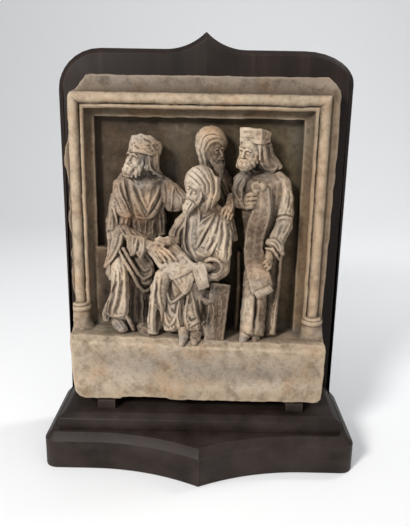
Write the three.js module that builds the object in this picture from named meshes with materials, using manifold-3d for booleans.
// Limestone relief of four robed figures in a moulded frame, standing on a dark wooden stand.
// Millimetres, +Z up, X to the viewer's right, Y from the front to the back.
// The origin is at the bottom centre of the whole stand.
import * as THREE from "three";
import { mergeVertices } from "three/addons/utils/BufferGeometryUtils.js";
import Module from "manifold-3d";

const wasm = await Module();
wasm.setup();

// Gap kept between pieces that touch
const GAP = 0.3;

// Base plate: a thick board whose front runs to a point in two hollow curves
const BASE_HALF_WIDTH = 190.5;
const BASE_BACK = 80.5;
const BASE_FRONT = -48;
const BASE_POINT = -80.5;
const BASE_CURVE_START = 130;
const BASE_CORNER = 15;
const BASE_EDGE_HEIGHT = 36;
const BASE_HEIGHT = 45;
const BASE_CHAMFER = 8;

// Plinth step on the base
const STEP_HALF_WIDTH = 174.5;
const STEP_FRONT = -33;
const STEP_FASCIA_TOP = 58.5;
const STEP_TOP = 64.4;
const STEP_SLOPE = 8;

// Back board with an ogee crest
const BOARD_HALF_WIDTH = 180;
const BOARD_THICKNESS = 18;
const BOARD_SHOULDER = 499.5;
const BOARD_TIP = 519.6;
const BOARD_CREST_HALF_WIDTH = 49;
const BOARD_CHAMFER_WIDTH = 6;
const BOARD_CHAMFER_DEPTH = 5;
const LEFT_SHOULDER = { x: 53, z: 50 };
const RIGHT_SHOULDER = { x: 62, z: 38 };

// Blocks between step and stone
const BLOCK_WIDTH = 21.5;
const BLOCK_FRONT = -17.5;
const BLOCK_DEPTH = 62;
const BLOCK_CENTRES = { left: -117, right: 118 };

// Stone slab
const STONE_BOTTOM = 76.7;
const STONE_TOP = 467.5;
const STONE_BACK = 62.2;
const FACE = 22.5;

// Ledge at the foot of the recess, its floor falling a little to the right
const LEDGE_FRONT = -15;
const FLOOR = 156;
const FLOOR_FALL = 0.028;
const BEVEL_DEPTH = 7;
const BEVEL_HEIGHT = 7;

// Recess and the moulded frame around it
const RECESS_LEFT = -131;
const RECESS_RIGHT = 118;
const RECESS_TOP = 419.5;
const RECESS_BACK = 47.5;
const FRAME_WIDTH = 28.5;

// The carving is laid out as a viewer in front of the stone sees it, on the plane of the frame
const EYE = { x: 8, z: 432 };
const SIGHT_PLANE = 12.5;
const SIGHT_DISTANCE = 680;

const SHORTEST_EDGE = 2.2;

const sight = ([x, y, z]) => {
  const scale = 1 + (y - SIGHT_PLANE) / SIGHT_DISTANCE;
  return [EYE.x + (x - EYE.x) * scale, y, EYE.z + (z - EYE.z) * scale];
};

// Closed bodies from rings of points, capped at both ends
function signedVolume(points, triangles) {
  let volume = 0;
  for (const [a, b, c] of triangles) {
    const [p, q, r] = [points[a], points[b], points[c]].map((v) => new THREE.Vector3(...v));
    volume += p.dot(q.cross(r)) / 6;
  }
  return volume;
}

function body(points, triangles) {
  const outward = signedVolume(points, triangles) > 0;
  const index = triangles.flatMap(([a, b, c]) => (outward ? [a, b, c] : [a, c, b]));
  const geometry = new THREE.BufferGeometry();
  geometry.setAttribute("position", new THREE.Float32BufferAttribute(points.flat(), 3));
  geometry.setIndex(index);
  return geometry;
}

function capTriangles(ring) {
  const normal = new THREE.Vector3();
  ring.forEach((p, i) => {
    const q = ring[(i + 1) % ring.length];
    normal.add(new THREE.Vector3(...p).cross(new THREE.Vector3(...q)));
  });
  const size = normal.toArray().map(Math.abs);
  const dropped = size.indexOf(Math.max(...size));
  const [u, v] = [0, 1, 2].filter((axis) => axis !== dropped);
  const flat = ring.map((p) => new THREE.Vector2(p[u], p[v]));
  const ringIsClockwise = THREE.ShapeUtils.isClockWise(flat);
  return THREE.ShapeUtils.triangulateShape(flat, []).map(([a, b, c]) => {
    const isClockwise = THREE.ShapeUtils.isClockWise([flat[a], flat[b], flat[c]]);
    return isClockwise === ringIsClockwise ? [a, b, c] : [a, c, b];
  });
}

function loft(rings) {
  const n = rings[0].length;
  const last = (rings.length - 1) * n;
  const triangles = [];
  for (let i = 0; i < rings.length - 1; i++) {
    for (let j = 0; j < n; j++) {
      const a = i * n + j;
      const b = i * n + ((j + 1) % n);
      triangles.push([a, b, b + n], [a, b + n, a + n]);
    }
  }
  for (const [a, b, c] of capTriangles(rings[0])) triangles.push([a, c, b]);
  for (const [a, b, c] of capTriangles(rings.at(-1))) triangles.push([last + a, last + b, last + c]);
  return body(rings.flat(), triangles);
}

// Joining and cutting
const solid = (geometry) =>
  new wasm.Manifold(
    new wasm.Mesh({
      numProp: 3,
      vertProperties: geometry.attributes.position.array,
      triVerts: new Uint32Array(geometry.index.array),
    }),
  );

const join = (solids) => solids.reduce((whole, piece) => whole.add(piece));

function geometryOf(manifold) {
  const mesh = manifold.getMesh();
  const geometry = new THREE.BufferGeometry();
  geometry.setAttribute("position", new THREE.BufferAttribute(mesh.vertProperties.slice(), 3));
  geometry.setIndex(new THREE.BufferAttribute(mesh.triVerts.slice(), 1));
  return geometry;
}

// Joining leaves many short edges: each is drawn together to one point where the surface stays whole
function withoutShortEdges(geometry, shortest) {
  const { position } = geometry.attributes;
  const points = Array.from({ length: position.count }, (_, i) => new THREE.Vector3().fromBufferAttribute(position, i));
  const faces = Array.from({ length: geometry.index.count / 3 }, (_, i) =>
    [0, 1, 2].map((k) => geometry.index.getX(3 * i + k)),
  );
  const touching = points.map(() => new Set());
  faces.forEach((face, f) => face.forEach((v) => touching[v].add(f)));
  const neighbours = (v) => new Set([...touching[v]].flatMap((f) => faces[f]).filter((w) => w !== v));
  const normal = (corners) => new THREE.Triangle(...corners).getNormal(new THREE.Vector3());

  const keepsItsSide = (f, edge, middle) => {
    if (edge.every((v) => faces[f].includes(v))) return true;
    const before = faces[f].map((v) => points[v]);
    const after = faces[f].map((v) => (edge.includes(v) ? middle : points[v]));
    return normal(before).dot(normal(after)) > 0.5;
  };

  const drawTogether = (a, b) => {
    const shared = [...neighbours(a)].filter((v) => neighbours(b).has(v));
    const middle = points[a].clone().lerp(points[b], 0.5);
    const around = [...touching[a], ...touching[b]];
    if (shared.length !== 2 || !around.every((f) => keepsItsSide(f, [a, b], middle))) return;
    points[a] = middle;
    for (const f of [...touching[b]]) {
      const isLost = faces[f].includes(a);
      for (const v of faces[f]) if (isLost || v === b) touching[v].delete(f);
      faces[f] = isLost ? null : faces[f].map((v) => (v === b ? a : v));
      if (!isLost) touching[a].add(f);
    }
  };

  for (let f = 0; f < faces.length; f++) {
    for (let k = 0; k < 3 && faces[f]; k++) {
      const [a, b] = [faces[f][k], faces[f][(k + 1) % 3]];
      if (points[a].distanceTo(points[b]) < shortest) drawTogether(a, b);
    }
  }
  return body(points.map((p) => p.toArray()), faces.filter(Boolean));
}

// Outlines as [across, up] pairs, and the bodies between two planes
const deepen = (outline, front, back) => loft([front, back].map((y) => outline.map(([x, z]) => [x, y, z])));

function arc(cx, cz, rx, rz, from, to, steps) {
  return Array.from({ length: steps + 1 }, (_, i) => {
    const angle = THREE.MathUtils.degToRad(from + ((to - from) * i) / steps);
    return [cx + rx * Math.cos(angle), cz + rz * Math.sin(angle)];
  });
}

function inset(outline, distance) {
  return outline.map((point, i) => {
    const here = new THREE.Vector2(...point);
    const before = new THREE.Vector2(...outline.at(i - 1)).sub(here).normalize();
    const after = new THREE.Vector2(...outline[(i + 1) % outline.length]).sub(here).normalize();
    const inBefore = new THREE.Vector2(before.y, -before.x);
    const inAfter = new THREE.Vector2(-after.y, after.x);
    const middle = inBefore.clone().add(inAfter).normalize();
    return here.addScaledVector(middle, distance / middle.dot(inAfter)).toArray();
  });
}

// Wooden stand
function basePlate() {
  const reach = BASE_FRONT - BASE_POINT;
  const radius = (BASE_CURVE_START ** 2 + reach ** 2) / (2 * reach);
  const sweep = THREE.MathUtils.radToDeg(Math.asin(BASE_CURVE_START / radius));
  const hollow = BASE_FRONT - radius;
  const cornerX = BASE_HALF_WIDTH - BASE_CORNER;
  const cornerY = BASE_FRONT + BASE_CORNER;
  const outline = [
    [BASE_HALF_WIDTH, BASE_BACK],
    [-BASE_HALF_WIDTH, BASE_BACK],
    ...arc(-cornerX, cornerY, BASE_CORNER, BASE_CORNER, 180, 270, 6),
    ...arc(-BASE_CURVE_START, hollow, radius, radius, 90, 90 - sweep, 10),
    ...arc(BASE_CURVE_START, hollow, radius, radius, 90 + sweep, 90, 10).slice(1),
    ...arc(cornerX, cornerY, BASE_CORNER, BASE_CORNER, 270, 360, 6),
  ];
  const top = inset(outline, BASE_CHAMFER).map(([x, y]) => [x, Math.min(y, BASE_BACK)]);
  for (const i of [0, 1]) top[i][1] = BASE_BACK;
  return loft([
    outline.map(([x, y]) => [x, y, 0]),
    outline.map(([x, y]) => [x, y, BASE_EDGE_HEIGHT]),
    top.map(([x, y]) => [x, y, BASE_HEIGHT]),
  ]);
}

function plinthStep() {
  const back = BASE_BACK - BOARD_THICKNESS - GAP;
  const ring = (half, front, z) => [
    [half, back, z],
    [-half, back, z],
    [-half, front, z],
    [half, front, z],
  ];
  return loft([
    ring(STEP_HALF_WIDTH, STEP_FRONT, BASE_HEIGHT + GAP),
    ring(STEP_HALF_WIDTH, STEP_FRONT, STEP_FASCIA_TOP),
    ring(STEP_HALF_WIDTH - STEP_SLOPE, STEP_FRONT + STEP_SLOPE, STEP_TOP),
  ]);
}

function backBoard() {
  const rise = BOARD_TIP - BOARD_SHOULDER;
  const radius = (BOARD_CREST_HALF_WIDTH ** 2 + rise ** 2) / (2 * rise);
  const sweep = THREE.MathUtils.radToDeg(Math.asin(BOARD_CREST_HALF_WIDTH / radius));
  const crest = BOARD_SHOULDER + radius;
  const bottom = BASE_HEIGHT + GAP;
  const left = LEFT_SHOULDER;
  const right = RIGHT_SHOULDER;
  const outline = [
    [-BOARD_HALF_WIDTH, bottom],
    [BOARD_HALF_WIDTH, bottom],
    ...arc(BOARD_HALF_WIDTH - right.x, BOARD_SHOULDER - right.z, right.x, right.z, 0, 90, 8),
    ...arc(BOARD_CREST_HALF_WIDTH, crest, radius, radius, 270, 270 - sweep, 7),
    ...arc(-BOARD_CREST_HALF_WIDTH, crest, radius, radius, 270 + sweep, 270, 7).slice(1),
    ...arc(left.x - BOARD_HALF_WIDTH, BOARD_SHOULDER - left.z, left.x, left.z, 90, 180, 8),
  ];
  const front = BASE_BACK - BOARD_THICKNESS;
  const face = inset(outline, BOARD_CHAMFER_WIDTH);
  for (const i of [0, 1]) face[i][1] = bottom;
  return loft([
    outline.map(([x, z]) => [x, BASE_BACK, z]),
    outline.map(([x, z]) => [x, front + BOARD_CHAMFER_DEPTH, z]),
    face.map(([x, z]) => [x, front, z]),
  ]);
}

function supportBlock(centre) {
  const half = BLOCK_WIDTH / 2;
  const outline = [
    [centre - half, STEP_TOP + GAP],
    [centre + half, STEP_TOP + GAP],
    [centre + half, STONE_BOTTOM - GAP],
    [centre - half, STONE_BOTTOM - GAP],
  ];
  return deepen(outline, BLOCK_FRONT, BLOCK_FRONT + BLOCK_DEPTH);
}

// Stone slab with its broken left flank and chipped top corner, before the recess is sunk
const STONE_OUTLINE = [
  [-144, STONE_BOTTOM],
  [147, STONE_BOTTOM],
  [151, 81],
  [152.5, 92],
  [153.5, 200],
  [155, 300],
  [157, 380],
  [157, 449],
  [152, 459],
  [141, STONE_TOP],
  [-137, STONE_TOP - 1],
  [-145, 455],
  [-155, 447],
  [-158, 440],
  [-159, 406],
  [-165, 379],
  [-164, 350],
  [-160, 333],
  [-164, 318],
  [-163, 230],
  [-161, 160],
  [-158.5, 100],
  [-156, 86],
];

const floorAt = (x) => FLOOR - FLOOR_FALL * x;

function ledgeCut() {
  const end = 200;
  const far = FACE - FRAME_WIDTH * 2;
  const ring = (x) => {
    const floor = floorAt(x);
    return [
      [x, FACE, floor],
      [x, LEDGE_FRONT + BEVEL_DEPTH, floor],
      [x, LEDGE_FRONT, floor - BEVEL_HEIGHT],
      [x, far, floor + far],
      [x, far, STONE_TOP + end],
      [x, FACE, STONE_TOP + end],
    ];
  };
  return loft([ring(-end), ring(end)]);
}

function pocket() {
  const outer = FRAME_WIDTH - 1;
  const left = RECESS_LEFT - outer;
  const right = RECESS_RIGHT + outer;
  const top = RECESS_TOP + outer;
  const outline = [
    [left, floorAt(left)],
    [right, floorAt(right)],
    [right, top],
    [left, top],
  ];
  return deepen(outline, FACE - FRAME_WIDTH, RECESS_BACK);
}

// Section of the frame: distance out from the recess, and depth
function frameSection() {
  const cavetto = arc(0, 24.5, 10, 9.5, 90, 0, 4).map(([out, y]) => [out, y]);
  const fillet = [
    [10, 19.5],
    [14.5, 19.5],
    [15.5, 23],
  ];
  const torus = arc(22, 22.5, 6.3, 8, 180, 360, 8);
  const buried = RECESS_BACK + 4;
  return [[0, buried], ...cavetto, ...fillet, ...torus, [FRAME_WIDTH, 23.5], [FRAME_WIDTH, buried]];
}

function frameMoulding() {
  const section = frameSection();
  const stations = [
    (out) => [RECESS_LEFT - out, floorAt(RECESS_LEFT) - 3],
    (out) => [RECESS_LEFT - out, RECESS_TOP + out],
    (out) => [RECESS_RIGHT + out, RECESS_TOP + out],
    (out) => [RECESS_RIGHT + out, floorAt(RECESS_RIGHT) - 3],
  ];
  return loft(
    stations.map((station) =>
      section.map(([out, y]) => {
        const [x, z] = station(out);
        return [x, y, z];
      }),
    ),
  );
}

// Moulded base of a jamb's round shaft: radius and height above the floor
function jambBase(x, height) {
  const profile = [
    [0, -3],
    [15, -3],
    [14, 4],
    [12, 12],
    [11, height - 8],
    [13, height - 6],
    [13, height - 4],
    [10, height - 2.5],
    [10, height],
    [0, height],
  ].map(([r, z]) => new THREE.Vector2(r, z));
  const geometry = new THREE.LatheGeometry(profile, 14);
  geometry.rotateX(Math.PI / 2);
  geometry.translate(x, FACE - 1.5, floorAt(x));
  return merged(geometry);
}

function merged(geometry) {
  geometry.deleteAttribute("normal");
  geometry.deleteAttribute("uv");
  return mergeVertices(geometry);
}

// Rounded body along a path of stations [x, y, z, half width, half depth]
function limb(stations, sides = 8, flutes = 0, fluteDepth = 0) {
  const points = stations.map(([x, y, z]) => new THREE.Vector3(x, y, z));
  const rings = stations.map(([, , , width, depth], i) => {
    const ahead = points[Math.min(i + 1, points.length - 1)];
    const behind = points[Math.max(i - 1, 0)];
    const along = ahead.clone().sub(behind).normalize();
    const across = along.clone().cross(new THREE.Vector3(0, 1, 0)).normalize();
    const out = across.clone().cross(along);
    return Array.from({ length: sides }, (_, j) => {
      const angle = (2 * Math.PI * (j + 0.5)) / sides;
      const swell = 1 + fluteDepth * Math.cos(flutes * angle);
      return points[i]
        .clone()
        .addScaledVector(across, width * swell * Math.cos(angle))
        .addScaledVector(out, depth * swell * Math.sin(angle))
        .toArray();
    });
  });
  return solid(loft(rings));
}

function blob([x, y, z], [rx, ry, rz], tilt = 0) {
  const geometry = new THREE.SphereGeometry(1, 10, 7);
  geometry.rotateX(Math.PI / 2);
  geometry.scale(rx, ry, rz);
  geometry.rotateY(THREE.MathUtils.degToRad(tilt));
  geometry.translate(x, y, z);
  return solid(merged(geometry));
}

const slabOf = (outline, front, back) => solid(deepen(outline, front, back));

// Ribbon between two edges: rows of [left x, left z, right x, right z, y]
function ribbon(rows, bulge, thickness) {
  return solid(
    loft(
      rows.map(([lx, lz, rx, rz, y]) => {
        const [mx, mz] = [(lx + rx) / 2, (lz + rz) / 2];
        return [
          [lx, y, lz],
          [mx, y - bulge, mz],
          [rx, y, rz],
          [rx, y + thickness, rz],
          [mx, y + thickness, mz],
          [lx, y + thickness, lz],
        ];
      }),
    ),
  );
}

const fingers = (roots, tips, radius) =>
  roots.map((root, i) => {
    const tip = tips[i];
    const knuckle = root.map((v, k) => (v + tip[k]) / 2 - (k === 1 ? radius : 0));
    const stations = [root, knuckle, tip].map((p, k) => [...p, radius * (1 - 0.15 * k), radius]);
    return limb(stations, 5);
  });

// Seated figure on the left, leaning to his left with a hand on the open book
function leftFigure() {
  return [
    limb([[-72, 32, 255, 24, 14], [-71, 29, 285, 21, 15], [-70, 28, 303, 18, 13],
      [-72, 27, 325, 25, 16], [-72, 29, 343, 30, 15], [-71, 31, 355, 17, 11]], 12),
    limb([[-84, 32, 354, 7, 8], [-97, 30, 345, 9, 10], [-102, 28, 334, 9, 11], [-104, 26, 315, 8, 11],
      [-107, 24, 296, 8, 10], [-110, 22, 284, 6, 8]]),
    limb([[-106, 21, 289, 10, 8], [-106, 18, 272, 10, 7], [-110, 16, 258, 6.5, 6],
      [-118, 15, 242, 1.5, 3]], 6),
    limb([[-107, 22, 287, 7, 8], [-95, 14, 282, 8, 8], [-80, 7, 277, 8, 7], [-66, 3, 271, 5, 5]]),
    limb([[-79, 6, 281, 9, 6], [-81, 4, 270, 7, 5], [-85, 3, 257, 1, 2]], 6),
    limb([[-71, 5, 279, 6, 5], [-72, 3, 267, 5, 4], [-75, 2, 252, 1, 2]], 6),
    limb([[-68, 3, 271, 4.5, 4], [-58, 0, 266, 6.5, 4], [-51, -2, 261, 6, 3]]),
    ...fingers(
      [[-56, -2, 261], [-52, -3, 263], [-48, -3, 265], [-45, -3, 267]],
      [[-49, -4, 249], [-43, -4, 250], [-37, -4, 252], [-31, -4, 253]],
      2,
    ),
    limb([[-56, 31, 350, 7, 9], [-47, 29, 343, 10, 11], [-38, 27, 336, 10, 11], [-26, 26, 328, 9, 10], [-12, 28, 322, 8, 9]]),
    limb([[-68, 28, 342, 11, 10], [-71, 26, 362, 9, 9]]),
    blob([-77, 18, 369], [12, 12, 16]),
    blob([-82, 9, 359], [12, 7, 7], 15),
    solid(loft([
      [[-91, 17, 379], [-72, 5, 377], [-53, 13, 378], [-51, 30, 379], [-70, 38, 380], [-89, 34, 380]],
      [[-88, 18, 389], [-70, 5, 388], [-49, 13, 386], [-47, 30, 386], [-68, 38, 388], [-86, 34, 389]],
      [[-84, 19, 400], [-70, 10, 402], [-55, 15, 399], [-54, 30, 399], [-68, 37, 402], [-82, 33, 401]],
    ])),
    limb([[-59, 24, 382, 7, 13], [-58, 24, 368, 6, 12], [-56, 27, 358, 7, 10], [-50, 30, 353, 2, 5]], 6),
    limb([[-86, 31, 270, 15, 13], [-97, 16, 259, 13, 13], [-102, 5, 245, 11, 12],
      [-101, 2, 228, 11, 11], [-102, 2, 205, 12, 10], [-104, 2, 186, 14, 10], [-106, 3, 173, 13, 9]], 12),
    limb([[-106, 6, 222, 4, 5], [-112, 5, 203, 4, 5], [-119, 5, 188, 4, 5], [-122, 5, 172, 3, 4]], 6),
    limb([[-104, 8, 178, 8, 7], [-101, 4, 166, 7, 6], [-97, 1, 158, 5, 4]]),
    limb([[-82, 30, 270, 20, 10], [-76, 24, 250, 20, 9], [-71, 19, 234, 12, 8]]),
    limb([[-76, 26, 262, 14, 12], [-76, 21, 225, 14, 10], [-77, 21, 195, 13, 10],
      [-76, 20, 164, 14, 10]], 16, 7, 0.09),
    blob([-72, 9, 160], [8, 10, 5]),
  ];
}

// Seated figure in the middle, his head bent over the book on his lap
function middleFigure() {
  return [
    limb([[4, 24, 238, 30, 14], [1, 16, 262, 31, 17], [1, 14, 285, 30, 18],
      [2, 15, 303, 26, 16], [0, 18, 318, 17, 13], [-4, 17, 328, 9, 9]], 14),
    limb([[12, 20, 321, 7, 8], [22, 17, 306, 10, 11], [27, 12, 284, 10, 14], [26, 7, 262, 10, 13],
      [21, 3, 244, 10, 10]], 10),
    limb([[22, 3, 242, 9, 9], [11, -3, 240, 8, 8], [1, -7, 243, 6, 6], [-8, -9, 245, 4, 4]]),
    limb([[-16, 17, 309, 9, 9], [-27, 15, 294, 8, 8], [-34, 11, 279, 7, 7], [-30, 5, 268, 6, 6]]),
    blob([-9, 9, 336], [12, 12, 17], -10),
    blob([-4, 13, 347], [18, 15, 19], -10),
    limb([[7, 15, 352, 10, 10], [8, 13, 330, 8, 9], [5, 9, 315, 4, 5], [4, 7, 307, 1.5, 2]]),
    limb([[-13, 2, 326, 8, 7], [-18, -1, 317, 7, 6], [-21, -2, 310, 3, 3]]),
    limb([[-18, 15, 254, 16, 14], [-34, 3, 244, 14, 13], [-48, -6, 232, 10, 10],
      [-53, -6, 215, 10, 10], [-56, -5, 192, 10, 9], [-60, -2, 172, 9, 9], [-61, 1, 156, 8, 8]], 10),
    limb([[6, 15, 246, 16, 14], [-4, 3, 230, 14, 12], [-8, -2, 205, 11, 11],
      [-12, -4, 182, 11, 10], [-11, -6, 160, 11, 8]], 10),
    limb([[-30, 5, 238, 16, 10], [-36, 1, 215, 13, 9], [-38, 0, 190, 13, 9], [-34, -2, 160, 13, 8]]),
    limb([[-9, 4, 217, 3, 4], [-3, -2, 205, 4, 4], [7, -4, 199, 4, 4], [16, -1, 203, 4, 4],
      [20, 5, 213, 3, 4]], 6),
    limb([[10, 10, 226, 14, 10], [8, 6, 200, 11, 9], [6, 3, 175, 10, 8], [2, 0, 153, 11, 7]], 16, 6, 0.09),
    slabOf([[3, 141], [28, 144], [30, 165], [33, 200], [35, 219], [12, 223]], -8, 50),
    limb([[-22, -6, 158, 7, 7], [-22, -12, 150, 5.5, 6], [-23, -15, 142, 4, 5]]),
    limb([[-6, -4, 156, 7, 7], [-7, -10, 147, 6, 5], [-8, -13, 142, 4, 3]]),
  ];
}

// Open book across two laps, and the folded sheet in the middle figure's hand
function bookAndSheet() {
  const book = ribbon([[-67, 268, -43, 277, 3], [-50, 243, -24, 260, -8], [-35, 226, -10, 244, -11]], 1.5, 9);
  const sheet = ribbon([[-12, 243, 2, 246, -13], [-9, 232, 5, 233, -14], [-3, 215, 8, 219, -12]], 1, 5);
  return [book, sheet];
}

// Hooded figure standing behind, looking to the right
function backFigure() {
  return [
    blob([8, 29, 393], [18.5, 15, 19.5]),
    limb([[-2, 31, 388, 8, 9], [1, 32, 372, 7, 9], [6, 34, 358, 9, 9]]),
    blob([13, 21, 385], [9.5, 9, 13]),
    limb([[14, 20, 376, 8, 7], [19, 18, 367, 7, 6], [25, 16, 357, 2.5, 3]], 7),
    limb([[10, 40, 374, 14, 10], [21, 38, 345, 19, 11], [26, 38, 318, 18, 11], [34, 38, 260, 12, 10],
      [41, 36, 205, 8, 9], [43, 34, 163, 7, 9]], 10),
    limb([[33, 28, 330, 6, 7], [31, 18, 319, 6, 6], [29, 11, 308, 5, 4]], 7),
    limb([[30, 18, 305, 6, 7], [34, 16, 292, 5, 6], [38, 16, 279, 1.5, 2]], 6),
  ];
}

// Standing figure on the right in a tall square hat, with a long scroll in both hands
function rightFigure() {
  const hatPlan = [[40, 15], [66, 5], [77, 20], [52, 34]];
  const hat = loft([395, 411].map((z, i) => hatPlan.map(([x, y]) => [x, y, z - (i * (x - 40)) / 7])));
  return [
    solid(hat),
    limb([[54, 21, 397, 12, 11], [52, 19, 382, 13, 12], [51, 17, 371, 14, 11], [48, 15, 365, 11, 8]]),
    limb([[68, 26, 394, 9, 11], [71, 27, 380, 9, 11], [76, 28, 369, 12, 11], [82, 30, 360, 11, 9]]),
    limb([[62, 28, 370, 9, 9], [62, 29, 350, 13, 9]]),
    limb([[72, 31, 250, 22, 13], [71, 28, 290, 24, 15], [70, 27, 320, 30, 17], [69, 29, 345, 31, 15],
      [67, 31, 359, 22, 11]], 14),
    limb([[50, 29, 358, 7, 8], [44, 26, 350, 8, 10], [41, 22, 338, 8, 10], [44, 17, 325, 8, 9], [54, 10, 324, 7, 8]]),
    blob([57, 4, 327], [7, 5, 10]),
    ...fingers(
      [[62, 2, 335], [61, 1, 330], [60, 1, 324.5], [59, 1, 319.5]],
      [[52, 0, 336], [51, -1, 330], [52, -1, 324], [53, -1, 319]],
      2.3,
    ),
    blob([66, 4, 344], [8.5, 6, 7], 10),
    limb([[87, 31, 359, 7, 8], [94, 29, 348, 10, 11], [98, 25, 330, 9, 11], [98, 20, 312, 10, 12], [95, 15, 297, 10, 11],
      [90, 9, 280, 10, 10], [87, 5, 266, 11, 8]], 10),
    limb([[92, 8, 278, 9, 8], [91, 6, 268, 9, 6], [93, 6, 255, 1.5, 2]], 6),
    limb([[84, 3, 264, 6, 6], [80, 0, 252, 5, 5], [79, -1, 243, 4, 4]]),
    ribbon(
      [[62, 337, 74, 341, 4], [61, 322, 78, 326, 2], [59, 312, 79, 314, 1], [55, 300, 77, 300, 1],
        [51, 288, 74, 288, 2], [50, 268, 72, 269, 3], [51, 250, 75, 254, 1], [57, 232, 81, 239, -2],
        [66, 208, 87, 218, -5]],
      3, 7,
    ),
    limb([[66, -6, 207, 4.5, 4.5], [88, -5, 217, 4.5, 4.5]], 8),
    limb([[73, 24, 262, 23, 15], [75, 18, 222, 20, 16], [73, 15, 186, 23, 17], [71, 12, 152, 23, 17]],
      20, 9, 0.1),
    limb([[56, 4, 158, 8, 8], [55, -4, 151, 7, 6], [54, -11, 146, 5, 4]]),
    limb([[72, 4, 156, 7, 8], [72, -4, 149, 6, 5], [71, -9, 146, 4, 3]]),
  ];
}

// Drapery folds, laid on the figures as the viewer sees them: [half width, [x, z] ...]
const RIDGES = [
  [2.2, [-100, 343], [-94, 325], [-88, 306]],
  [2.4, [-91, 350], [-86, 330], [-76, 308]],
  [2.2, [-84, 345], [-76, 325], [-67, 309]],
  [2.4, [-50, 347], [-57, 325], [-66, 306]],
  [2.4, [-44, 342], [-46, 325], [-56, 308]],
  [2.0, [-33, 342], [-36, 330], [-38, 318]],
  [2.2, [-78, 300], [-77, 290], [-76, 280]],
  [2.2, [-66, 302], [-65, 292], [-66, 280]],
  [2.0, [-58, 300], [-56, 290], [-57, 281]],
  [2.0, [-108, 320], [-104, 305], [-98, 300]],
  [2.0, [-96, 284], [-101, 272], [-109, 254]],
  [2.6, [-97, 252], [-86, 235], [-76, 216], [-70, 211], [-62, 217]],
  [2.6, [-90, 254], [-80, 240], [-71, 227], [-62, 232]],
  [2.4, [-104, 226], [-104, 205], [-109, 184]],
  [2.4, [-95, 240], [-93, 215], [-93, 190], [-86, 164]],
  [1.8, [-112, 178], [-104, 178], [-96, 180]],
  [2.4, [-27, 306], [-26, 290], [-24, 270]],
  [2.4, [-21, 305], [-22, 285], [-21, 262], [-14, 250]],
  [2.6, [-14, 303], [-15, 280], [-12, 262], [-7, 250]],
  [2.4, [12, 306], [4, 290], [-4, 274]],
  [2.6, [18, 302], [11, 280], [4, 262]],
  [2.4, [22, 298], [18, 275], [10, 258]],
  [2.2, [6, 253], [16, 252], [24, 245]],
  [2.4, [-57, 226], [-61, 200], [-62, 178], [-61, 158]],
  [2.6, [-52, 226], [-50, 205], [-47, 182], [-40, 167], [-32, 175], [-29, 190]],
  [2.6, [-44, 228], [-40, 207], [-35, 197], [-27, 203], [-19, 210]],
  [2.4, [-20, 206], [-19, 190], [-21, 175], [-17, 162]],
  [2.4, [-12, 210], [-9, 190], [-5, 178]],
  [2.0, [-30, 176], [-27, 165], [-25, 158]],
  [2.2, [-8, 236], [-12, 228], [-24, 216]],
  [2.2, [-38, 238], [-36, 228], [-28, 216]],
  [2.0, [8, 176], [15, 184], [17, 196]],
  [2.0, [-14, 359], [-6, 352], [3, 342]],
  [2.0, [-18, 352], [-9, 345], [0, 336]],
  [2.2, [-8, 388], [-2, 400], [8, 404], [20, 400], [27, 395]],
  [2.4, [82, 350], [80, 330], [82, 310], [81, 290]],
  [2.4, [97, 345], [101, 325], [99, 310]],
  [2.2, [84, 302], [94, 307], [106, 308]],
  [2.2, [81, 281], [91, 276], [98, 268]],
  [2.6, [58, 218], [55, 190], [53, 165]],
  [2.6, [64, 200], [62, 180], [62, 162]],
  [2.6, [74, 198], [73, 176], [73, 154]],
  [2.4, [90, 250], [92, 225], [88, 190], [88, 162]],
  [2.2, [42, 355], [38, 345], [37, 335]],
];

const GROOVES = [
  [1.8, [-91, 346], [-89, 325], [-82, 308]],
  [1.8, [-107, 318], [-103, 306], [-96, 298]],
  [1.8, [-52, 338], [-60, 318], [-66, 309]],
  [2.2, [-18, 304], [-19, 285], [-17, 262], [-11, 248]],
  [2.0, [4, 288], [0, 278], [-5, 268]],
  [2.0, [11, 282], [9, 272], [4, 264]],
  [2.8, [-54, 195], [-55, 178], [-54, 160]],
  [2.2, [-42, 226], [-40, 212], [-36, 202]],
  [2.2, [-25, 200], [-28, 185], [-29, 178]],
  [2.2, [-15, 208], [-15, 195], [-14, 182]],
  [2.0, [0, 196], [3, 180], [2, 165]],
  [2.4, [68, 200], [68, 180], [67, 160]],
  [2.4, [82, 210], [81, 185], [80, 160]],
];

function strokes(list, target, lift) {
  const ray = new THREE.Raycaster();
  const surface = new THREE.Mesh(geometryOf(target), new THREE.MeshBasicMaterial({ side: THREE.DoubleSide }));
  return list.map(([width, ...path]) => {
    const stations = path.map(([x, z], i) => {
      ray.set(new THREE.Vector3(x, FACE - SIGHT_DISTANCE, z), new THREE.Vector3(0, 1, 0));
      const [hit] = ray.intersectObject(surface);
      const depth = hit ? hit.point.y : RECESS_BACK;
      const atEnd = i === 0 || i === path.length - 1;
      const size = width * (atEnd ? 0.5 : 1);
      return [x, depth + lift * size, z, size, size * 1.3];
    });
    return limb(stations, 5);
  });
}

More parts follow.
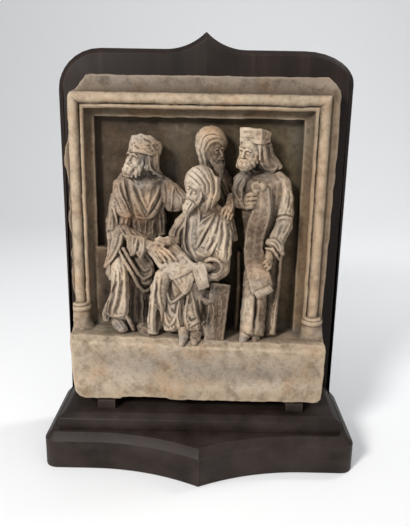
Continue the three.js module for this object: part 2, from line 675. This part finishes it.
function carving() {
  const masses = join([
    ...leftFigure(),
    ...middleFigure(),
    ...backFigure(),
    ...rightFigure(),
    ...bookAndSheet(),
  ]);
  const folded = join([masses, ...strokes(RIDGES, masses, 0.2)]);
  const cut = folded.subtract(join(strokes(GROOVES, folded, -0.1)));
  const geometry = withoutShortEdges(geometryOf(cut), SHORTEST_EDGE);
  const { position } = geometry.attributes;
  for (let i = 0; i < position.count; i++) {
    position.setXYZ(i, ...sight([position.getX(i), position.getY(i), position.getZ(i)]));
  }
  return solid(geometry);
}

function bench() {
  const outline = [
    [RECESS_LEFT - 2, FLOOR - 4],
    [10, FLOOR - 4],
    [10, 232],
    [-60, 255],
    [RECESS_LEFT - 2, 262],
  ];
  return slabOf(outline, 33, RECESS_BACK + 4);
}

function limestoneRelief() {
  const block = slabOf(STONE_OUTLINE, LEDGE_FRONT, STONE_BACK);
  const hollowed = block.subtract(solid(ledgeCut())).subtract(solid(pocket()));
  const left = RECESS_LEFT - FRAME_WIDTH + 6.5;
  const right = RECESS_RIGHT + FRAME_WIDTH - 6.5;
  const mouldings = join([frameMoulding(), jambBase(left, 31), jambBase(right, 25)].map(solid));
  const framed = hollowed.add(mouldings.intersect(block));
  return geometryOf(join([framed, bench(), carving()]));
}

// Materials and the scene graph
const limestone = () => new THREE.MeshStandardMaterial({ color: 0xb3a48c, roughness: 0.92, metalness: 0 });
const darkWood = () => new THREE.MeshStandardMaterial({ color: 0x2b2120, roughness: 0.5, metalness: 0 });

function named(name, geometry, material) {
  geometry.computeVertexNormals();
  const mesh = new THREE.Mesh(geometry, material);
  mesh.name = name;
  return mesh;
}

const altarpiece = new THREE.Group();
altarpiece.add(
  named("limestone_relief", limestoneRelief(), limestone()),
  named("back_board", backBoard(), darkWood()),
  named("base_plate", basePlate(), darkWood()),
  named("plinth_step", plinthStep(), darkWood()),
);
for (const [side, centre] of Object.entries(BLOCK_CENTRES)) {
  altarpiece.add(named(`support_block_${side}`, supportBlock(centre), darkWood()));
}

export default altarpiece;
